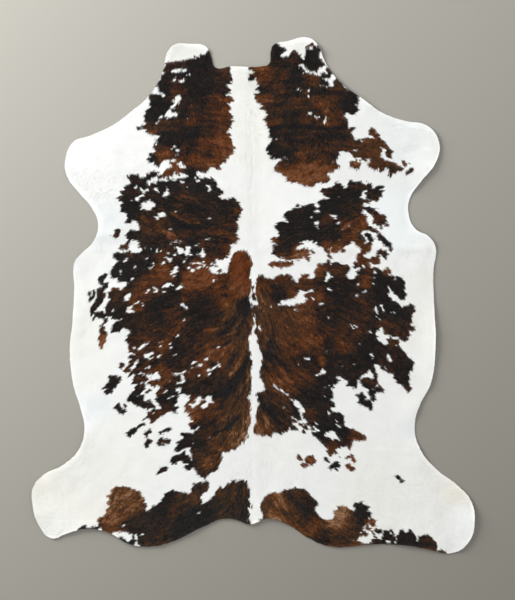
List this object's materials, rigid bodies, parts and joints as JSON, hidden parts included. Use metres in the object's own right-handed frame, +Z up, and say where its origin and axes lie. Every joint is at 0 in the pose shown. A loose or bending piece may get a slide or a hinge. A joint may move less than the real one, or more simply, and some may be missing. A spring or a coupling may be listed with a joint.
{
  "type": "cowhide rug",
  "caption": "Whole hair-on cowhide trimmed to the animal's outline, lying flat as a floor rug, white ground with black and brindle brown patches.",
  "frame": {"origin": "on the floor under the middle of the hide's box", "axes": "+Y from the tail towards the neck, +Z up out of the hair side, +X to the right seen from above with the neck away from the viewer"},
  "size_m": [1.97, 2.3, 0.0068],
  "materials": {
    "cowhide": "short smooth hair, white with black, dark brown and rust patches; suede flesh side"
  },
  "bodies": {
    "root": {"hide": "cowhide"}
  },
  "joints": []
}
